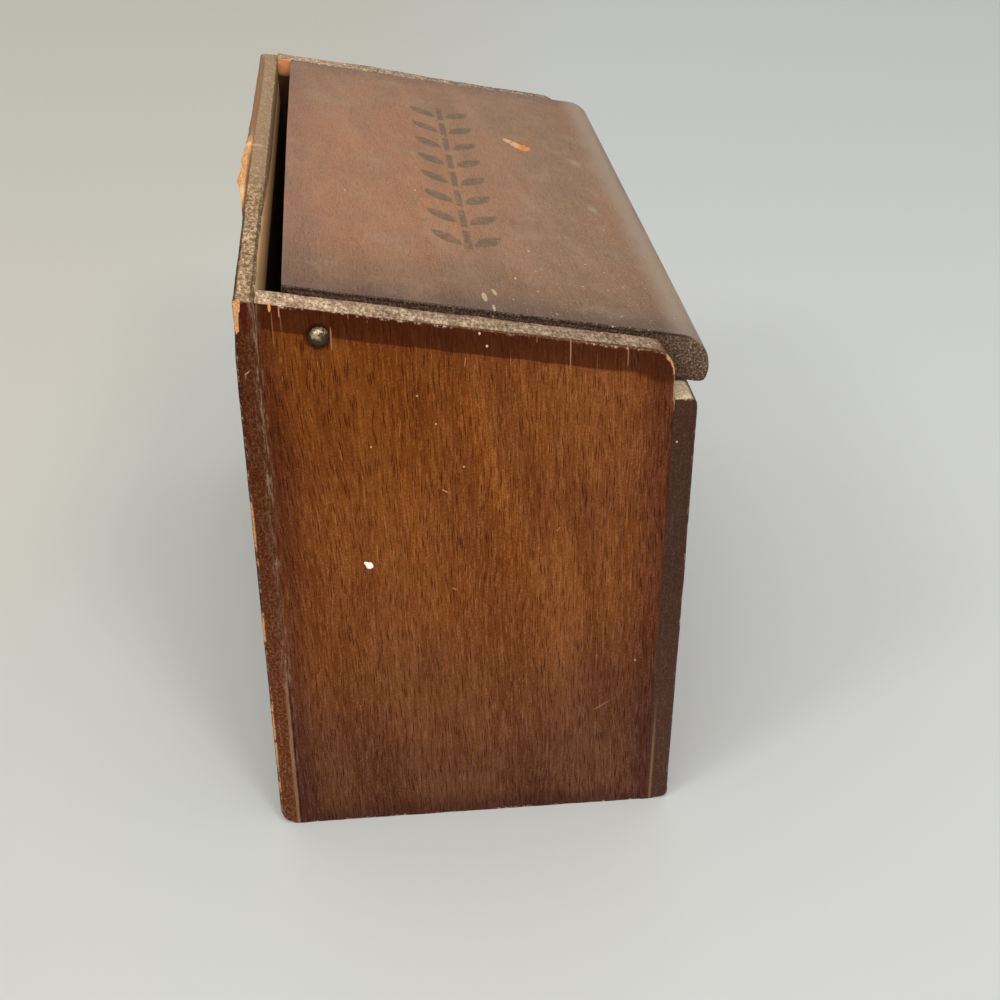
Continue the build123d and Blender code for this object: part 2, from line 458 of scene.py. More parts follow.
class Wood(Shader):
    """Stained beech, in layers that a board's own marks can change before assemble()."""

    def __init__(self, name, along, across, tones, light=WALL_LIGHT, veil=0.012, lean=0.03, lively=1,
                 gritty=1, airbrush=9, saw=(2.4, 0.3, 0.3)):
        super().__init__(name)
        self.tones = {key: base(value, light, veil) for key, value in {**PLAIN, **tones}.items()}
        t = self.tones
        self.grain = grain_frame(self, along, across, lean)
        leaning = grain_frame(self, along, across, 5 * lean)
        bands = self.noise((0.13, 0.07, 0.012), 3, 4, 0.6, 0.5, leaning)
        self.fibre = self.noise((4.2, 2, 0.26), 1, 3, 0.62, place=self.grain)
        streak = self.noise((1.6, 0.8, 0.06), 8, 3, 0.62, place=self.grain)
        grit = self.noise((3,) * 3, 5, 2, 0.6)
        self.flecks = self.dashes(self.grain, 0.25, 4.4, 0.33, 0.74, 1)
        glints = self.dashes(self.grain, 0.5, 6.5, 0.2, 0.5, 2)
        self.cloud = self.noise((0.045,) * 3, 2, 3, 0.55)
        colour = self.mix(self.ramp(bands, 0.32, 0.68), t["low"], t["high"])
        self.unrest = self.swing((self.fibre, 1.4 * lively), (streak, 0.75 * lively), (grit, 1.1 * gritty))
        colour = self.shift(self.unrest, colour, t["deep"], t["pale"])
        colour = self.mix(self.times(self.flecks, 0.88 * lively), colour, t["deep"])
        self.colour = self.mix(self.times(glints, 0.36 * lively), colour, t["pale"])
        # Darker towards the board's edges, where the stain was sprayed on
        self.edge = self.mark("edge")
        stain = self.frayed(self.edge, airbrush, self.cloud)
        shade = self.ramp(stain, airbrush, airbrush * 0.1)
        factors = [t["shade"][k] / (0.5 * t["low"][k] + 0.5 * t["high"][k]) for k in range(3)]
        self.tint("colour", shade, *factors)
        # End grain takes more stain, and shows pores
        self.pores = self.noise((2.2,) * 3, 7, 4, 0.85)
        self.cut = self.shift(self.swing((self.pores, 5.2)), t["ends"], t["end_deep"], t["end_pale"])
        # Worn tops, with saw marks and dust
        self.crumbs = self.noise((0.9, 1.8, 1.8), 2, 4, 0.8)
        self.sawn = self.noise(saw, 9, 3, 0.6)
        smudges = self.noise((0.3,) * 3, 13, 2, 0.6)
        self.dusty = self.shift(self.swing((self.crumbs, 5), (self.sawn, 1.2), (smudges, 1.3)), t["worn"],
                                t["worn_deep"], t["dust"])
        self.up = self.mark("up")
        self.raw = self.ramp(self.frayed(self.mark("raw"), 0.6), 0.36, 0.56)
        self.lip = self.plus(0.5, 0)
        self.late = []

    def below_top(self):
        """Depth below the sloping plane of the side and back panels' tops."""
        rim = self.plus(BACK_TOP, self.times(self.less(self.axes[1], BACK_OUT), tan(SLOPE)))
        return self.less(rim, self.axes[2])

    def assemble(self, gloss=0.42, shine=0.18, specks=0.22, lit=10.5, rubbed=0.7):
        """The whole material. The inner faces are dusty down to the lip, and painted in shade below the
        depth lit.
        """
        t = self.tones
        inner, end = self.mark("inner"), self.mark("end")
        colour = self.mix(end, self.colour, self.cut)
        colour = self.mix(self.up, colour, self.dusty)
        inside = self.shift(self.swing((self.fibre, 2.4), (self.cloud, 1.2)), t["bare"], t["bare_deep"],
                            t["bare_pale"])
        depth = self.frayed(self.below_top(), 0.8, self.rough)
        # Painted light and shade: above the depth lit the inner faces keep the bare tone as a painted lit
        # strip; below it they are multiplied darker, and darker still further down, as painted shade inside
        # the box.
        unlit = self.mix(self.ramp(depth, 22, 55), (0.15, 0.11, 0.09, 1), (0.28, 0.23, 0.19, 1))
        inside = self.mix(self.ramp(depth, lit - 0.7, lit + 0.7), inside, unlit, "MULTIPLY")
        on_lip = self.ramp(self.less(depth, self.lip), 0.3, -0.3)
        inside = self.mix(on_lip, inside, self.dusty)
        colour = self.mix(inner, colour, inside)
        wide_lip = self.times(self.ramp(inner, 0.05, 0.3), self.ramp(self.lip, 1, 3), on_lip)
        colour = self.mix(wide_lip, colour, self.dusty)
        # Edges rubbed through to lighter wood here and there
        thin = self.times(self.ramp(self.mark("open"), 0.55, 0.12), self.ramp(self.rough, 0.50, 0.64),
                          self.ramp(self.ragged, 0.42, 0.58))
        colour = self.mix(self.times(thin, rubbed), colour, t["dust"])
        # Chips down to bare wood
        splinters = self.noise((3.5, 3.5, 0.5), 0, 3, 0.7, place=self.grain)
        bright = self.shift(self.swing((splinters, 3.5)), t["raw"], t["raw_deep"], t["dust"])
        colour = self.mix(self.raw, colour, bright)
        for mask, above in self.late:
            colour = self.mix(mask, colour, above)
        colour = self.mix(self.times(self.specks(2.4, 0.22, specks), 0.6), colour, t["dust"])
        loose = self.top(self.up, inner, self.raw)
        height = self.plus(self.times(self.unrest, 0.5), self.times(self.flecks, -0.5),
                           self.times(self.crumbs, self.up, 2), self.times(splinters, self.raw, 1.5),
                           self.times(self.pores, end, 1.2))
        rough = self.plus(self.ramp(self.fibre, 0.2, 0.8, gloss, gloss + 0.12), self.times(loose, 0.3))
        return self.finish(colour, rough, self.bump(height, 0.05, 0.8), Specular_IOR_Level=shine)

    def add(self, colour, strength, *masks):
        """A mark of a display colour over everything else, where the masks meet."""
        self.late.append((self.times(*masks, strength), wall_tone(*colour)))

    def fleck(self, y, z, wide, tall, turn, colour, strength, soft=0.25, ragged=0.35):
        """A spot on the left end of the box, with half its width and height."""
        spot = self.spot((-SIDE_OUT, y, z), (2, wide, tall), (turn, 0, 0), soft, ragged)
        self.add(colour, strength, spot)


def joint_dust(w):
    """Dust and scuffs along the joint at the back, and the dark seam that opens near its foot."""
    x, y, z = w.axes
    left = w.ramp(x, -70, -72)
    streaky = w.noise((2, 2.2, 0.35), 3, 3, 0.7)
    near = w.ramp(w.math("ABSOLUTE", w.less(y, 35.9)), 1.3, 0.1)
    patches = w.ramp(w.noise((0.1, 0.1, 0.09), 5, 2), 0.40, 0.56)
    dust = w.times(near, w.ramp(streaky, 0.45, 0.66), w.plus(0.35, w.times(patches, 0.65)), left)
    w.add((160, 134, 112), 0.62, dust)
    foot = w.ramp(z, 40, 30)
    w.add((150, 112, 84), 0.6, w.line(y, 36.15, 0.12, 0.3), foot, left)
    w.add((58, 30, 18), 0.7, w.line(y, 35.62, 0.08, 0.22), foot, left)


# -- The side panels

# Leaning spots where the stain is thinner: y, z, half width, half height, lean in degrees, strength
GOLDEN = [
    (2.2, 90, 1.9, 9, 16, 0.5),
    (-1.6, 76.5, 2.3, 11, 18, 0.6),
    (-4.9, 62, 2, 10, 12, 0.45),
    (-8.2, 89, 1.7, 12, 17, 0.4),
    (13.2, 80, 1.5, 14, 9, 0.35),
    (11.4, 60, 1.4, 10, 4, 0.3),
]
# Scratches and flakes: y, z, half width, half height, turn in degrees, colour, strength
SCRATCHES = [
    (24, 103.4, 0.16, 2.2, 0, (184, 124, 84), 0.7),
    (33.35, 109.2, 0.22, 0.75, 0, (236, 152, 98), 1),
    (33.1, 105.4, 0.10, 3.2, 0, (156, 96, 60), 0.6),
    (31.9, 108.3, 0.12, 0.9, 0, (196, 146, 108), 0.75),
    (31.75, 106.4, 0.08, 1.5, 0, (150, 98, 66), 0.6),
    (-14.72, 99.4, 0.11, 3.4, 0, (178, 136, 104), 0.7),
    (-24.3, 98.4, 0.10, 2.3, 0, (170, 126, 96), 0.65),
    (-19.2, 95.6, 0.08, 3.4, 0, (140, 92, 62), 0.55),
    (-1, 100.95, 0.2, 0.24, 0, (222, 200, 184), 0.85),
    (0.2, 103.2, 0.2, 0.26, 0, (222, 196, 184), 0.8),
    (2.6, 98.2, 0.12, 0.9, 8, (176, 120, 80), 0.7),
    (13.6, 86.3, 0.1, 1.6, 6, (166, 108, 70), 0.6),
    (-22.6, 24.7, 1.9, 0.11, -34, (168, 122, 92), 0.65),
    (6.3, 74, 0.65, 0.11, 35, (206, 168, 132), 0.75),
    (-13.5, 65, 0.5, 0.10, -60, (190, 146, 100), 0.6),
    (4.9, 53.5, 0.5, 0.11, 24, (196, 150, 104), 0.65),
]


def dark_band(w, below):
    """The stain ran down from the top and dried in a darker band, lower at the front corner."""
    y = w.axes[1]
    wander = w.noise((0.1, 0.16, 0), 1, 2)
    depth = w.plus(w.ramp(y, 33, -24, 4.5, 4.4), w.swing((wander, 0.9)),
                   w.times(w.ramp(y, -25, -30), 1.1))
    soft = w.ramp(y, -16, -30, 0.15, 0.7)
    return w.ramp(w.math("DIVIDE", w.less(depth, below), soft), -1, 1)


def rubbed_corner(w, inward):
    """Bare wood along the left panel's rounded front corner and just under it."""
    x, y, z = w.axes
    bend_y = FRONT_IN + SIDE_BEND
    bend_z = top_at(bend_y) - SIDE_BEND / cos(SLOPE)
    off_y, off_z = w.less(y, bend_y), w.less(z, bend_z)
    radius = w.math("SQRT", w.plus(w.times(off_y, off_y), w.times(off_z, off_z)))
    worn = w.ramp(w.frayed(radius, 0.6), SIDE_BEND - 0.5, SIDE_BEND - 0.25)
    on_bend = w.times(worn, w.ramp(z, 93.8, 94.6), w.ramp(y, -30.5, -31.1), w.ramp(inward, 1.2, 0.8))
    on_front = w.times(w.ramp(w.mark("open"), 0.24, 0.11), w.ramp(y, -31, -32),
                       w.within(z, 88.5, 94.8))
    return w.times(w.top(on_bend, on_front), w.ramp(w.ragged, 0.34, 0.46), w.ramp(x, -70, -72))


def make_side_wood():
    """Orange-brown, with a dark band under the top, scuffs, and paler and darker areas."""
    w = Wood("side_wood", 2, 1, dict(
        low=(115, 61, 26), high=(132, 75, 34), deep=(70, 26, 0), pale=(186, 124, 72), shade=(98, 51, 27),
        ends=(96, 58, 38), end_deep=(58, 32, 20), end_pale=(150, 116, 88)), veil=NO_VEIL, lean=0.036,
             airbrush=7, saw=(2, 0.4, 0.4))
    x, y, z = w.axes
    below = w.below_top()
    band = dark_band(w, below)
    for at_y, at_z, wide, tall, lean, strength in GOLDEN:
        golden = w.spot((-SIDE_OUT, at_y, at_z), (3, wide, tall), (-lean, 0, 0), 1.4, 0.25)
        w.tint("colour", w.times(golden, strength), 1.26, 1.27, 1.05)
    cool = w.plus(w.ramp(y, 10, -34, 0, 0.6), w.ramp(z, 80, 20, 0, 0.4))
    w.tint("colour", cool, 0.96, 1.04, 1.45)
    deeper = w.times(w.ramp(z, 66, 90), w.ramp(y, -6, 16))
    w.tint("colour", deeper, 0.86, 0.78, 0.52)
    foot = w.ramp(w.frayed(z, 16, w.cloud), 54, 6)
    w.tint("colour", foot, 0.66, 0.76, 1.25)
    w.colour = w.mix(w.times(band, 0.5), w.colour, wall_tone(86, 40, 12))
    w.tint("colour", band, 0.62, 0.61, 0.58)
    fine = w.times(w.dashes(w.grain, 0.8, 7, 0.10, 0.62, 6), w.ramp(below, 30, 6))
    w.add((184, 130, 84), 0.62, fine)
    # The dust on the top stops short of the outer arris, further in towards the front
    breaks = w.ramp(w.noise((0, 0.5, 0.5), 15, 2), 0.62, 0.72)
    reach = w.plus(w.ramp(y, 36, -26, 0.25, 1), w.swing((w.ragged, 0.22)), w.times(breaks, -0.35))
    inward = w.less(SIDE_OUT, w.math("ABSOLUTE", x))
    w.up = w.times(w.up, w.ramp(w.less(inward, reach), -0.06, 0.10))
    w.dusty = w.mix(w.times(w.ramp(inward, 4.2, 5.4), 0.35), w.dusty, wall_tone(110, 90, 72))
    w.tint("dusty", w.ramp(y, 0, 34), 1.32, 1.28, 1.24)
    w.tint("dusty", w.ramp(y, -2, -22), 0.87, 0.86, 0.88)
    w.add((226, 170, 122), 0.85, rubbed_corner(w, inward))
    joint_dust(w)
    # A dark ring round the nail's head, set a little low: a painted shadow cast by the head
    hub = (-SIDE_OUT, HINGE[1] + 0.15, HINGE[2] - 0.25)
    off_hub = w.node("VectorMath", w.place, hub, operation="SUBTRACT").outputs[0]
    away = w.node("VectorMath", w.scaled(off_hub, (0.3, 1, 1)), operation="LENGTH").outputs["Value"]
    w.add((46, 26, 14), 0.75, w.ramp(w.frayed(away, 0.9), 2.6, 1.9))
    # A white speck, a dark stain near the foot, and the scratches
    w.fleck(19.8, 59.5, 0.62, 0.7, 0, (255, 252, 236), 1, 0.1, 0.5)
    w.fleck(20.2, 59.95, 0.55, 0.36, 28, (255, 252, 236), 1, 0.1, 0.4)
    w.fleck(-16.4, 17.4, 0.9, 1.6, 0, (70, 42, 36), 0.32, 1.6, 0.6)
    for scratch in SCRATCHES:
        w.fleck(*scratch)
    for at_y, at_z in ((10.58, 92.46), (7.56, 87.07), (18.51, 83.29), (-28.58, 35.03), (3, 78.6)):
        w.fleck(at_y, at_z, 0.19, 0.19, 0, (210, 170, 128), 0.8)
    # Bare wood at the back of the right panel's inner face
    w.add((236, 158, 104), 0.9, w.spot((SIDE_IN, 33.9, 109.2), (1, 2, 2.2), soft=0.8))
    # Both side panels' inner faces are painted in shade below 2.9 mm from the top.
    return w.assemble(specks=0.16, shine=0.06, lit=2.9)


# -- The front and back panels


def stain_ends(w, left, front_half):
    """The panels' end grain: darker on the front panel, redder towards the back panel's top."""
    y, z = w.axes[1], w.axes[2]
    deep, pale = w.tones["end_deep"], w.tones["end_pale"]
    darker = w.mix(w.times(front_half, 0.9), w.cut, wall_tone(67, 47, 40, NO_VEIL))
    w.cut = w.shift(w.times(w.swing((w.pores, 2.2)), front_half), darker, deep, pale)
    low = w.times(w.ramp(z, 92, 10), w.less(1, front_half))
    w.tint("cut", low, 1.55, 1.78, 2.3)
    w.tint("cut", w.times(front_half, w.ramp(z, 60, 20)), 1.2, 1.22, 1.18)
    grey = w.ramp(w.noise((0.6, 2.4, 0.22), 4, 3, 0.7), 0.54, 0.74)
    w.cut = w.mix(w.times(grey, w.ramp(y, -30, 0, 0.12, 0.35)), w.cut, wall_tone(150, 122, 102))
    stain = w.times(w.ramp(z, 104.4, 105.4), w.ramp(y, 30, 34), left)
    w.cut = w.mix(w.times(stain, 0.7), w.cut, wall_tone(76, 32, 14))
    dark_rim = w.times(w.ramp(w.edge, 0.9, 0.3), w.ramp(y, 38, 39), w.ramp(z, 82, 98))
    w.cut = w.mix(w.times(dark_rim, 0.8), w.cut, wall_tone(46, 24, 14))


def dust_tops(w, front_half):
    """Dust on the panels' tops: pale on the front panel, speckled and then calm along the back one."""
    x, y = w.axes[0], w.axes[1]
    patch = w.shift(w.swing((w.crumbs, 3.6), (w.ragged, 2.6), (w.cloud, 1)),
                    wall_tone(212, 190, 156, NO_VEIL), wall_tone(150, 126, 98, NO_VEIL),
                    wall_tone(246, 228, 198, NO_VEIL))
    w.dusty = w.mix(front_half, w.dusty, patch)
    back_half = w.ramp(y, 20, 30)
    far_part = w.ramp(x, -34, -4)
    calm = w.shift(w.swing((w.crumbs, 1.2), (w.sawn, 0.5)), wall_tone(162, 133, 104, NO_VEIL),
                   wall_tone(126, 92, 62, NO_VEIL), wall_tone(206, 176, 144, NO_VEIL))
    speckled = w.times(back_half, w.specks(1, 0.5, 0.6, 4), 0.5)
    w.dusty = w.mix(speckled, w.dusty, wall_tone(220, 198, 170, NO_VEIL))
    w.dusty = w.mix(w.times(back_half, far_part, 0.85), w.dusty, calm)
    seam = w.times(w.line(y, 36.1, 0.15, 0.3), w.less(1, far_part), 0.7)
    w.dusty = w.mix(seam, w.dusty, wall_tone(70, 48, 34, NO_VEIL))
    w.lip = w.ramp(x, -44, 16, 0.4, 4.6)


def crack_back(w):
    """The crack along the back panel's top, the browner wood behind it, and the splinter's marks."""
    x, y, z = w.axes
    crack_y = w.ramp(x, -35, 65, 39, 38.5)
    crack = w.times(w.line(w.frayed(y, 0.5), crack_y, 0.1, 0.2),
                    w.within(x, -35, 62, 6), w.ramp(z, 108, 109))
    beyond = w.times(w.ramp(w.less(y, crack_y), -0.1, 0.15), w.within(x, -33.5, 70, 0.6),
                     w.ramp(w.frayed(z, 1.6), 109.5, 110))
    w.add((148, 110, 80), 0.9, beyond, w.ramp(x, 0, 20))
    root = w.times(w.line(w.frayed(y, 0.4), 39.2, 0.14, 0.22),
                   w.within(x, -32, -2, 2), w.ramp(z, 106, 108))
    w.add((150, 100, 60), 0.6, root)
    w.add((112, 72, 42), 0.8, crack, w.ramp(x, 4, -8))
    w.add((134, 98, 70), 0.6, crack, w.ramp(x, -8, 4))
    w.add((252, 210, 156), 0.7, w.spot((-24, 40, 110.6), (4.5, 0.7, 2), soft=0.8))
    w.add((236, 200, 160), 0.85, w.spot((4.2, 39.7, 110.6), (1.5, 0.6, 1.5)))
    w.add((204, 168, 132), 0.7, w.spot((3.7, 38, 110.5), (0.7, 1.1, 1), soft=0.6))


def make_long_wood():
    """Dark brown, with worn tops and edges, and pale wood where it has split."""
    # The bright bare tones are the inner faces' painted lit strip under the top.
    w = Wood("long_panel_wood", 0, 2, dict(
        low=(88, 46, 22), high=(108, 60, 30), deep=(60, 26, 8), pale=(150, 100, 62), shade=(66, 34, 20),
        ends=(80, 38, 17), end_deep=(54, 22, 6), end_pale=(116, 78, 54), worn=(152, 120, 88),
        worn_deep=(80, 54, 34), dust=(238, 207, 168), bare=(255, 214, 158), bare_deep=(236, 182, 124),
        bare_pale=(252, 222, 180), raw=(220, 158, 104), raw_deep=(172, 102, 56)), veil=NO_VEIL,
             saw=(0.5, 1.8, 0.4))
    x, y, z = w.axes
    left = w.ramp(x, -72.4, -73)
    front_half = w.ramp(y, 0, -2)
    stain_ends(w, left, front_half)
    dust_tops(w, front_half)
    crack_back(w)
    w.fleck(-33.5, 81.4, 0.16, 0.2, 0, (214, 190, 158), 0.85)
    # The back panel's outer edge at the left end is rubbed bare over three stretches
    bead = w.noise((0.8, 0.8, 0.55), 8, 3, 0.7)
    outer_edge = w.times(w.ramp(w.mark("open"), 0.7, 0.3), w.ramp(y, 38.2, 38.9),
                         w.ramp(x, -72.6, -73.1))
    stretches = w.top(w.within(z, 9, 31, 1.5), w.within(z, 44.5, 50.5, 0.8),
                      w.within(z, 61, 73, 1))
    w.add((214, 156, 108), 0.9, outer_edge, stretches, w.ramp(bead, 0.42, 0.52))
    w.add((196, 160, 128), 0.6, outer_edge, w.ramp(bead, 0.56, 0.66))
    w.fleck(37.7, 98, 0.55, 0.11, -40, (190, 158, 138), 0.7, 0.6)
    w.fleck(38, 97.2, 0.12, 0.5, 12, (160, 122, 100), 0.5, 0.6)
    foot = w.ramp(z, 30, 8)
    w.add((148, 108, 82), 0.6, w.line(y, -33.2, 0.12, 0.25), foot, left)
    joint_dust(w)
    return w.assemble(specks=0.20, shine=0.06)


# -- The lid


def leaf_border(w):
    """Stencilled leaves on both sides of a broken stem, along the middle of the lid's top."""
    x, y = w.axes[0], w.axes[1]
    start, pitch, leaves = -42, 11, 8
    half_leaf, half_width, leaf_lean = 4.3, 1.75, radians(40)
    cell = w.times(w.less(w.math("FRACT", w.times(w.less(x, start), 1 / pitch)), 0.5), pitch)
    away = w.math("ABSOLUTE", w.times(w.plus(y, 1), 1 / cos(SLOPE)))
    out, up = w.plus(cell, -0.2), w.plus(away, -3.9)
    length = w.plus(w.times(out, cos(leaf_lean)), w.times(up, sin(leaf_lean)))
    width = w.math("ABSOLUTE", w.less(w.times(up, cos(leaf_lean)), w.times(out, sin(leaf_lean))))
    shape = w.less(1, w.times(length, length, 1 / half_leaf**2))
    leaf = w.ramp(w.less(w.times(shape, half_width), width), -0.3, 0.45)
    stem = w.times(w.ramp(away, 0.9, 0.4), w.ramp(w.math("ABSOLUTE", cell), 4.7, 4.3))
    faded = w.ramp(w.plus(w.ragged, w.swing((w.rough, 1.2))), 0.30, 0.52, 0.35, 0.8)
    inside = w.times(w.within(x, start, start + leaves * pitch, 0.2), w.ramp(w.below_top(), 4, 2))
    return w.times(w.top(leaf, stem), inside, faded)


def weather_lid(w):
    """Warm in the middle and behind, and greyer and dustier towards the nose and the left end."""
    x, y = w.axes[0], w.axes[1]
    warm = w.spot((-8, 14, 107), (62, 24, 40), soft=1.2, ragged=0.5)
    w.tint("colour", w.ramp(y, 22, 33), 1.10, 1.10, 1.10)
    w.tint("colour", warm, 1.27, 1.09, 0.96)
    blotch = w.noise((0.05, 0.11, 0.11), 21, 3, 0.6)
    w.tint("colour", w.ramp(blotch, 0.5, 0.64), 1.06, 1.01, 0.97)
    w.tint("colour", w.ramp(blotch, 0.5, 0.36), 0.92, 0.95, 0.99)
    drift = w.swing((w.cloud, 14))
    w.tint("colour", w.ramp(w.plus(x, drift), -34, -64), 0.76, 0.80, 0.84)
    to_front = w.times(w.ramp(w.plus(y, drift), -12, -26), 0.8)
    w.tint("colour", to_front, 0.95, 0.95, 0.95)
    # A film of dust over the nose, worn through in streaks on its face
    film = w.noise((0.05, 0.5, 0.5), 17, 4, 0.7)
    handled = w.noise((0.06, 0.1, 0.1), 23, 3, 0.6)
    streaks = w.plus(w.ramp(film, 0.42, 0.62, 0, 0.45), w.ramp(handled, 0.42, 0.62, 0, 0.5))
    worn = w.times(w.ramp(y, -36.2, -38.4), streaks)
    dust = w.times(w.ramp(y, -31, -36), w.less(0.75, w.times(worn, 0.75)))
    w.colour = w.mix(dust, w.colour, lid_tone(170, 150, 130, 0.03))
    mist = w.ramp(w.noise((0.11, 0.11, 0.11), 8, 4, 0.7), 0.48, 0.72)
    w.colour = w.mix(w.times(mist, 0.3), w.colour, lid_tone(172, 148, 124, 0.012))
    to_end = w.ramp(w.frayed(x, 4), -58, -66.5)
    w.tint("colour", to_end, 0.84, 0.86, 0.90)


def crumble_ends(w):
    """The lid's end faces and the arrises round them are dark, and full of pale crumbs."""
    x, y, z = w.axes
    opened = w.mark("open")
    crumbly = w.noise((3,) * 3, 11, 4, 0.85)
    rim = w.times(w.ramp(w.frayed(opened, 0.8), 0.75, 0.42),
                  w.ramp(w.math("ABSOLUTE", x), 66.7, 67.2), w.ramp(y, -34, -30))
    dark_crumbs = w.shift(w.swing((crumbly, 3.4)), lid_tone(60, 43, 34), lid_tone(30, 20, 15),
                          lid_tone(190, 164, 138))
    w.cut = w.shift(w.swing((w.pores, 3.2), (crumbly, 4.6)), w.tones["ends"], w.tones["end_deep"],
                    w.tones["end_pale"])
    w.cut = w.mix(rim, w.cut, dark_crumbs)
    w.colour = w.mix(rim, w.colour, dark_crumbs)
    upper_nose = w.ramp(w.plus(y, w.times(z, -0.5)), -86, -78)
    w.tint("cut", upper_nose, 0.62, 0.6, 0.58)
    dark_rim = w.times(w.ramp(opened, 0.55, 0.3), w.ramp(y, -28, -31), w.ramp(x, -67.2, -67.35), 0.8)
    w.cut = w.mix(dark_rim, w.cut, lid_tone(46, 30, 20))
    w.colour = w.mix(dark_rim, w.colour, lid_tone(46, 30, 20))


def speckle_lid(w):
    """Specks, short scratches along the grain and scuffs across it, mostly near the left end."""
    x, y = w.axes[0], w.axes[1]
    near = w.times(w.ramp(y, 6, -14), w.ramp(x, 6, -30))
    fine = w.times(w.specks(0.9, 0.17, 0.7, 3), w.plus(0.15, w.times(near, 0.85)))
    w.add((202, 172, 142), 0.7, fine)
    coarse = w.times(w.specks(2.2, 0.34, 0.45, 12), w.plus(0.25, w.times(near, 0.75)))
    w.add((206, 180, 150), 0.6, coarse)
    w.add((184, 154, 128), 0.5, w.dashes(w.grain, 2.4, 5, 0.06, 0.4, 7), near)
    turned = w.node("VectorRotate", w.place, rotation_type="Z_AXIS", invert=False)
    turned.inputs["Angle"].default_value = radians(58)
    scuffs = w.dashes(turned.outputs[0], 3, 9, 0.035, 0.5, 8)
    w.add((186, 150, 120), 0.4, scuffs, w.ramp(x, -20, -45))
    for centre, radii, turn in (((-62, -1.7, 104.4), (1.9, 0.42, 2), 2),
                                ((-59.4, -3.6, 104.1), (1.3, 0.35, 2), 8),
                                ((-66, -2.9, 104.2), (1.2, 0.25, 2), 0)):
        w.add((198, 178, 140), 0.75, w.spot(centre, radii, (0, 0, turn)))
    for centre in ((-13.1, 7.3, 106), (-18.5, 20.8, 108.4), (-52, -8, 103.3), (-38, -12, 102.6)):
        w.add((206, 180, 150), 0.7, w.spot(centre, (0.5, 0.22, 2)))
    for centre, radii in (((18.5, -28.9, 99.6), (2, 0.8, 3)), ((-10.6, -28.3, 99.7), (2.4, 0.7, 3))):
        w.add((186, 164, 140), 0.35, w.spot(centre, radii, (0, 0, 15), 1.4, 1.2))
    w.add((214, 176, 134), 0.8, w.spot((26.8, -15.9, 101.9), (2.3, 1.1, 2), (0, 0, 38)))


def make_lid_wood():
    """Red-brown under a dusty bloom, with a stencilled border."""
    w = Wood("lid_wood", 0, 1, dict(
        low=(146, 111, 86), high=(156, 121, 94), deep=(112, 78, 56), pale=(192, 154, 122),
        shade=(138, 106, 86), ends=(101, 75, 60), end_deep=(40, 24, 18), end_pale=(188, 158, 134),
        dust=(206, 182, 154), raw=(234, 150, 90), raw_deep=(176, 96, 50)),
             light=1, lively=0.42, gritty=1.5)
    weather_lid(w)
    w.colour = w.mix(leaf_border(w), w.colour, lid_tone(112, 98, 82, 0.03))
    crumble_ends(w)
    speckle_lid(w)
    return w.assemble(shine=0.16, specks=0.3, rubbed=0.15)


def make_bottom_wood():
    """Bare and smooth sawn."""
    w = Wood("bottom_wood", 0, 1, dict(
        low=(186, 146, 104), high=(204, 166, 122), deep=(150, 108, 70), pale=(222, 188, 146),
        shade=(168, 130, 92), ends=(160, 126, 92), end_deep=(120, 88, 60), end_pale=(190, 160, 124),
        dust=(214, 196, 170)))
    return w.assemble(gloss=0.6)


side_wood = make_side_wood()
long_wood = make_long_wood()
lid_wood = make_lid_wood()
bottom_wood = make_bottom_wood()


# ---- The boards ----

ARRIS, TIGHT = 0.75, 0.05  # radii of the outer arrises, and of those that meet a neighbour
SHELTER = 9  # added to the distance to an edge that a neighbour covers, so that it doesn't wear


def board(name, corners, x0, x1, body, slot, material, grain_axis, inner=None, depth=0.25, seed=1,
          chips=(), adjust=None, dusty_top=1, sheltered=None, **how):
    """A board with worn edges: its end grain, bare inside and chips are marked on its vertices."""
    co, faces, edge = loft(corners, x0, x1, **how)
    normals = mesh_normals(co, faces)

    def facing(toward):
        return np.clip((toward - 0.55) / 0.3, 0, 1)

    end = facing(np.abs(normals[:, grain_axis]))
    inside = np.zeros(len(co)) if inner is None else facing(normals @ np.array(inner))
    up = np.clip((normals[:, 2] - 0.75) / 0.2, 0, 1) * dusty_top
    loose = edge if sheltered is None else edge + SHELTER * sheltered(*co.T)
    co = wear(co, faces, loose, depth, seed)
    raw = np.zeros(len(co))
    for cut in chips:
        chip(co, raw, *cut)
    if adjust:
        co = adjust(co, raw)
    return piece(name, co, faces, body, slot, material, edge=edge, open=loose, end=end, inner=inside,
                 raw=raw, up=up)


def side(name, sign, seed):
    """An end panel: its lower front edge meets the front panel, up to that panel's top."""
    corners = [
        (FRONT_IN, 0, 0.2, TIGHT, 0.2),
        (BACK_IN, 0, 0.2, TIGHT, 0.2),
        (BACK_IN, top_at(BACK_IN), 0.12, 0.1, 0.1),
        (FRONT_IN, top_at(FRONT_IN), SIDE_BEND, 0.4, 0.3),
        (FRONT_IN, FRONT_TOP, 0.4, TIGHT, 0.2),
    ]
    caps = (0.99, 0.975, 0.955, 0.93, 0.9, 0.86, 0.8, 0.72, 0.62, 0.5, 0.36, 0.2, 0.08)

    def sheltered(x, y, z):
        back = (y > BACK_IN - 1.3) & (z < top_at(y) - 0.5)
        front = (y < FRONT_IN + 1.3) & (z < FRONT_TOP - 0.4)
        return back | front

    made = board(name, corners, -SIDE_OUT, -SIDE_IN, "box", "side_wood", side_wood, 2, (1, 0, 0), 0.22, seed,
                 sheltered=sheltered, fine=0.35, coarse=0.9, zone=6, caps=caps)
    if sign > 0:
        made.data.transform(Matrix.Scale(-1, 4, (1, 0, 0)))
        made.data.flip_normals()
        # The right panel's top is not planed quite like the left one's: it rises towards the back
        for vertex in made.data.vertices:
            y, z = vertex.co.y / MM, vertex.co.z / MM
            rise = 0.4 * max(0, y / BACK_IN) + 0.45 * exp(-(((y - 12) / 14) ** 2))
            vertex.co.z += MM * rise * max(0, (z - 80) / 30)
    return made


left_side = side("left_side_panel", -1, 3)
right_side = side("right_side_panel", 1, 4)

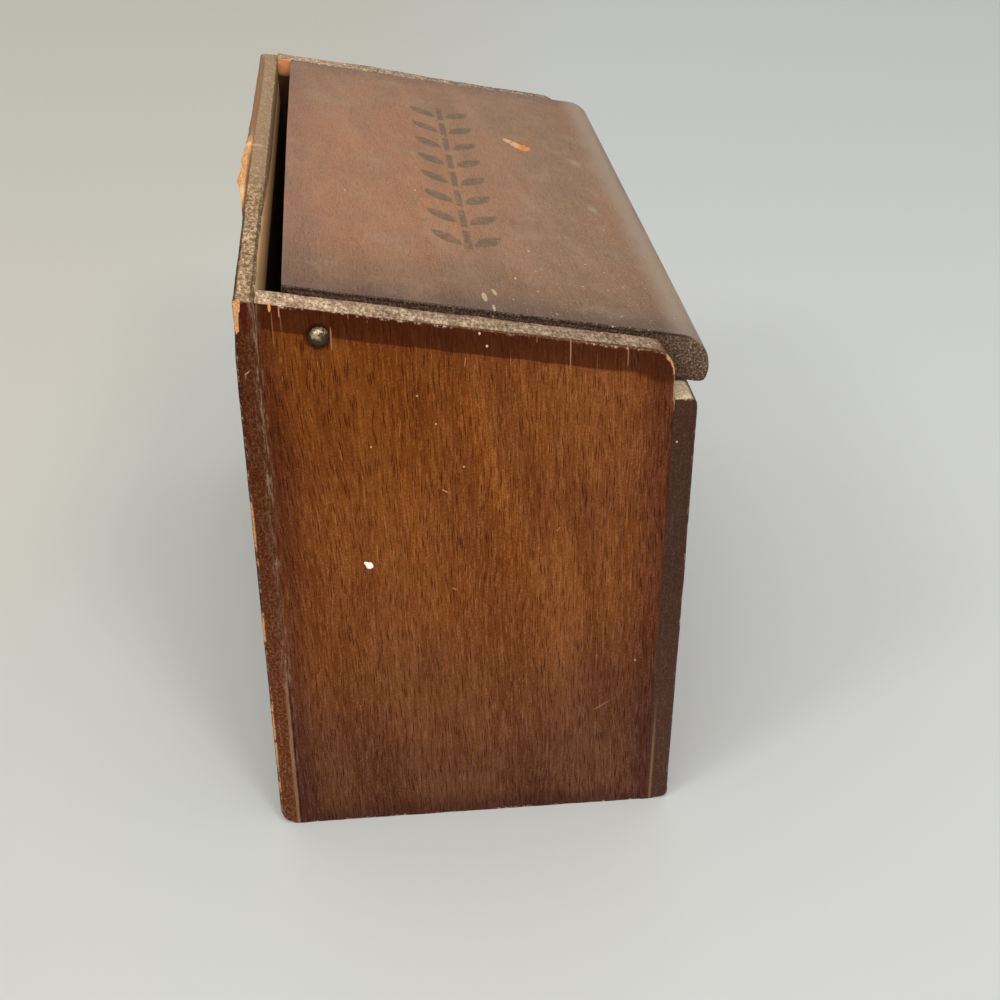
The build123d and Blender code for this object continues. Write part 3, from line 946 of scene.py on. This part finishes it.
front_corners = [
    (FRONT_OUT, 0, 1.1, ARRIS, ARRIS),
    (FRONT_IN, 0, 0.2, TIGHT, TIGHT),
    (FRONT_IN, FRONT_TOP, 0.4, 0.3, 0.3),
    (FRONT_OUT, FRONT_TOP, 1.9, ARRIS, ARRIS),
]
board("front_panel", front_corners, -SIDE_OUT, SIDE_OUT, "box", "long_panel_wood", long_wood, 0,
      (0, 1, 0), 0.25, 5,
      sheltered=lambda x, y, z: (np.abs(x) > SIDE_IN) & (y > FRONT_IN - 1.3) & (z < FRONT_TOP - 0.5))


def bowed(co):
    """Bends the back panel's outer top edge, which has worn and split along its length."""
    along = (-73.75, -41, -35, -24, -18.5, -14, -8, -2, 5, 17, 34, 73.75)
    bow = (-0.35, -0.35, -0.25, -0.42, -0.1, 0.45, -0.1, 0.25, 0.35, 0.55, 0.55, 0.35)
    outer = np.clip((co[:, 1] - BACK_OUT + 2) / 1.2, 0, 1) * np.clip((co[:, 2] - 100) / 5, 0, 1)
    co[:, 1] += np.interp(co[:, 0], along, bow) * outer


def splintered(co, raw):
    """Lifts a torn sliver off the back's outer top edge, widest near its broken left end."""
    along = (-34.5, -31.6, -24, -19.5, -12, -1, 6, 14, 28)
    lift = (0, 0.25, 0.95, 1.25, 1.2, 0.95, 0.5, 0.25, 0)
    foot, inside = BACK_TOP - 6.5, BACK_OUT - 1.2
    for i, (x, y, z) in enumerate(co):
        if along[0] < x < along[-1] and z > foot and y > inside:
            opened = np.interp(x, along, lift) * (1 + 0.15 * noise.noise(Vector((x / 3, 3, 1))))
            down = min(1, max(0, (z - foot) / 5))
            across = min(1, max(0, (y - inside) / 0.5))
            ragged = 1 + 0.3 * noise.noise(Vector((x / 1.3, z / 1.3, 7)))
            co[i][1] += opened * down**1.5 * across * ragged
            co[i][2] += 0.15 * opened * down * across
            raw[i] = max(raw[i], min(1, max(0, opened - 0.22) * 3) * across * min(1, down * 1.2))


def rounded_foot(co):
    """Rounds the foot of the back panel's left end, more towards its corner."""
    start, reach, least, more = -61, 11, 0.9, 2.9
    x, y, z = co.T
    radius = least + more * np.clip((start - x) / reach, 0, 1)
    across, up = radius - (BACK_OUT - y), radius - z
    length = np.hypot(across, up)
    out = (across > 0) & (up > 0) & (x < start) & (length > radius)
    rounded = np.column_stack([BACK_OUT - radius + across * radius / length, radius - up * radius / length])
    co[out, 1:] = rounded[out]


def weathered_back(co, raw):
    """All that has happened to the back panel besides even wear."""
    bowed(co)
    splintered(co, raw)
    rounded_foot(co)
    return co


back_corners = [
    (BACK_IN, 0, 0.2, TIGHT, TIGHT),
    (BACK_OUT, 0, 0.9, ARRIS, ARRIS),
    (BACK_OUT, BACK_TOP, 0.9, ARRIS, ARRIS),
    (BACK_IN, top_at(BACK_IN), 0.2, 0.12, 0.12),
]
# Chips out of the outer edge at the left end: centre, radii, turn, raggedness, grain
edge_chips = [
    ((-74.5, 40, 107.6), (1.7, 1.75, 5.6), (0, 0, 0), 0.4, 1.6),
    ((-74.4, 40, 101.8), (1.2, 1.15, 2.4), (0, 0, 0), 0.4, 1.2),
    ((-74.1, 40, 27), (0.75, 0.8, 3.4), (0, 0, 0), 0.5, 1),
    ((-74.1, 40, 16), (0.7, 0.75, 5), (0, 0, 0), 0.5, 1),
    ((-74.1, 40, 47.5), (0.65, 0.7, 2), (0, 0, 0), 0.5, 1),
]
board("back_panel", back_corners, -SIDE_OUT, SIDE_OUT, "box", "long_panel_wood", long_wood, 0,
      (0, -1, 0), 0.3, 6, chips=edge_chips, adjust=weathered_back, coarse=0.9,
      sheltered=lambda x, y, z: (np.abs(x) > SIDE_IN) & (y < BACK_IN + 1.3) & (z < top_at(y) - 0.5))

bottom_corners = [
    (FRONT_IN, 0, 0.2, 0.2, 0.2),
    (BACK_IN, 0, 0.2, 0.2, 0.2),
    (BACK_IN, BOTTOM_TOP, 0.2, 0.2, 0.2),
    (FRONT_IN, BOTTOM_TOP, 0.2, 0.2, 0.2),
]
board("bottom_panel", bottom_corners, -SIDE_IN, SIDE_IN, "box", "bottom_wood", bottom_wood, 0,
      None, 0.05, 7, dusty_top=0, coarse=2.5)


def on_slope(u, v):
    """From the lid's own section, along the slope and square to it, to the row frame's y and z."""
    return (HINGE[1] + u * cos(SLOPE) - v * sin(SLOPE),
            HINGE[2] + u * sin(SLOPE) + v * cos(SLOPE))


def skewed(co, raw):
    """The lid's back edge is not sawn quite square: the heel is shorter at the left end."""
    along, longer = (-LID_END, -24, 11, LID_END), (-0.42, 0.02, 0.29, 0.5)
    u = (co[:, 1] - HINGE[1]) * cos(SLOPE) + (co[:, 2] - HINGE[2]) * sin(SLOPE)
    push = np.interp(co[:, 0], along, longer) * np.clip(u / LID_HEEL, 0, 1)
    co[:, 1] += push * cos(SLOPE)
    co[:, 2] += push * sin(SLOPE)
    return co


NOSE_REACH = LID_REACH + 0.25
lid_corners = [
    (*on_slope(-NOSE_REACH, LID_UNDER), 1.2, 0.45, 0.4),
    (*on_slope(LID_HEEL - 0.8, LID_UNDER), 0.4, 0.4, 0.4),
    (*on_slope(LID_HEEL, LID_DEPTH), 0.12, 0.12, 0.12),
    (*on_slope(-NOSE_REACH, LID_DEPTH), 6.3, 0.45, 0.4),
]
dent_x, dent_y = 24.8, -17.9
dent = on_slope((dent_y - HINGE[1]) / cos(SLOPE) + 0.9, LID_DEPTH + 0.25)
lid_chips = [((dent_x, *dent), (3.8, 1.7, 0.95), (-10, 0, 37), 0.35, 1.2)]
board("lid", lid_corners, -LID_END, LID_END, "lid", "lid_wood", lid_wood, 0, None, 0.2, 8,
      chips=lid_chips, adjust=skewed, dusty_top=0, coarse=0.8,
      sheltered=lambda x, y, z: (y > 31.2) & (np.abs(x) < LID_END - 2))


# ---- The hinge pins ----


def make_pin_metal():
    """Worn brass with dirt, and painted shade as more of the dirt colour low on the head."""
    s = Shader("pin_metal")
    # Painted shade: the lower half of the head takes more of the dark dirt colour.
    low = s.ramp(s.axes[2], HINGE[2] + 0.9, HINGE[2] - 1.5, 0, 0.2)
    dirt_and_shade = s.plus(s.noise((0.75,) * 3, 2, 3, 0.7), low)
    pits = s.noise((3,) * 3, 5, 3, 0.6)
    metal = s.mix(s.ramp(pits, 0.35, 0.65), tone(152, 128, 92), tone(220, 200, 158))
    colour = s.mix(s.ramp(dirt_and_shade, 0.42, 0.58), metal, tone(78, 64, 50))
    rough = s.ramp(dirt_and_shade, 0.35, 0.6, 0.24, 0.65)
    return s.finish(colour, rough, s.bump(s.plus(dirt_and_shade, pits), 0.06, 0.8), metallic=0.8)


def ring(x, radius, around):
    """Points round the hinge's axis."""
    angles = [2 * pi * k / around for k in range(around)]
    return [(x, HINGE[1] + radius * cos(a), HINGE[2] + radius * sin(a)) for a in angles]


def pin(name, sign, material):
    """A round-headed nail along X: the domed head outside, the shank through the side panel."""
    head, dome, shank, length, point, gap = 1.6, 1.5, 0.8, 19, 2.4, 0.15
    start = -SIDE_OUT - gap
    steps, around = 14, 40
    profile = []
    for k in range(1, steps + 1):
        angle = pi / 2 * k / steps
        profile.append((start - dome * cos(angle), head * sin(angle)))
    profile += [(start, head - 0.12), (start, 1.2), (start, shank + 0.1), (start + 0.15, shank)]
    profile += [(start + at, shank) for at in (2, 5, 9, 13, length - point)]
    profile += [(start + length - point / 2, shank * 0.52), (start + length - 0.15, 0.06)]
    rows = [ring(x, radius, around) for x, radius in profile]
    tips = [(start - dome, *HINGE[1:]), (start + length, *HINGE[1:])]
    co = np.concatenate(rows + [tips])
    faces = skin(len(profile), around)
    dents = fields(co, 0.9, 11) * 0.09 + fields(co, 0.4, 12) * 0.03
    outside = np.clip((start + 0.05 - co[:, 0]) / 0.5, 0, 1)
    co[:, 0] += np.abs(dents) * outside
    if sign > 0:
        co[:, 0] *= -1
        faces = [f[::-1] for f in faces]
    piece(name, co, faces, "lid", "pin_metal", material)


brass = make_pin_metal()
pin("left_hinge_pin", -1, brass)
pin("right_hinge_pin", 1, brass)


def bore(made, sign):
    """The hole that the pin runs in, cut through a side panel."""
    around = 32
    ends = [sign * (SIDE_IN - 2), sign * (SIDE_OUT + 2)]
    co = np.concatenate([ring(x, HOLE_RADIUS, around) for x in ends] + [[(x, *HINGE[1:]) for x in ends]])
    mesh = bpy.data.meshes.new("bore")
    mesh.from_pydata((co * MM).tolist(), [], skin(2, around))
    if sign < 0:
        mesh.flip_normals()
    tool = shown("bore", mesh)
    cut = made.modifiers.new("bore", "BOOLEAN")
    cut.operation, cut.solver, cut.object = "DIFFERENCE", "EXACT", tool
    graph = bpy.context.evaluated_depsgraph_get()
    result = bpy.data.meshes.new_from_object(made.evaluated_get(graph))
    made.modifiers.clear()
    made.data = result
    bpy.data.objects.remove(tool)


bore(left_side, -1)
bore(right_side, 1)

# ---- Floor, light and camera ----

s = Shader("floor_paint")
cloud = s.noise((0.004,) * 3)
far = s.plus(s.times(s.axes[0], 1 / 1100), s.times(s.axes[1], 1 / 260), s.swing((cloud, 0.5)))
colour = s.mix(s.ramp(far, 0, 0.6), tone(219, 220, 217), tone(217, 213, 200))
# Painted fall-off of light: the floor is painted darker away from the camera.
colour = s.mix(s.ramp(s.axes[0], -50, 350), colour, (0.93, 0.93, 0.93, 1), "MULTIPLY")
fleck = s.noise((0.3,) * 3, 0, 4, 0.6)
floor_paint = s.finish(colour, s.ramp(fleck, 0.3, 0.7, 0.55, 0.65), s.bump(fleck, 0.1, 0.3))

mesh = bpy.data.meshes.new("floor")
half = 6
rim = [(-half, -half, 0), (half, -half, 0), (half, half, 0), (-half, half, 0)]
mesh.from_pydata(rim, [], [(0, 1, 2, 3)])
mesh.materials.append(floor_paint)
floor = shown("floor", mesh)

world = bpy.data.worlds.new("studio")
world.use_nodes = True
sky = world.node_tree.nodes["Background"]
sky.inputs["Color"].default_value = (0.94, 0.95, 0.93, 1)
sky.inputs["Strength"].default_value = 0.62
bpy.context.scene.world = world


def lamp(name, place, size, power):
    """A round soft lamp that looks at the box."""
    aim = Vector((0, 0, 0.03))
    data = bpy.data.lights.new(name, "AREA")
    data.shape, data.size, data.energy = "DISK", size, power
    made = shown(name, data)
    made.location = place
    made.rotation_euler = (aim - Vector(place)).to_track_quat("-Z", "Y").to_euler()


lamp("key_right", (-0.98, -0.42, 1.06), 0.30, 3.2)
lamp("key_left", (-0.64, 0.86, 1.05), 0.34, 3)
lamp("soft_box", (-0.80, 0.05, 1.40), 1.3, 6.5)

# The camera stands where the photograph was taken, as fitted to the box's edges
eye = Vector((-0.28984, 0.01925, 0.20452))
ahead = Vector((0.8485, -0.088, -0.5219)).normalized()
right = Vector((-0.1021, -0.9948, 0.0019))
right = (right - ahead * right.dot(ahead)).normalized()
above = right.cross(ahead)
camera_data = bpy.data.cameras.new("camera")
camera_data.lens = 53.19
camera_data.sensor_width = 36
camera_data.clip_start = 0.01
camera = shown("camera", camera_data)
camera.matrix_world = Matrix.Translation(eye) @ Matrix((right, above, -ahead)).transposed().to_4x4()
bpy.context.scene.camera = camera
bpy.context.scene.view_settings.view_transform = "Standard"
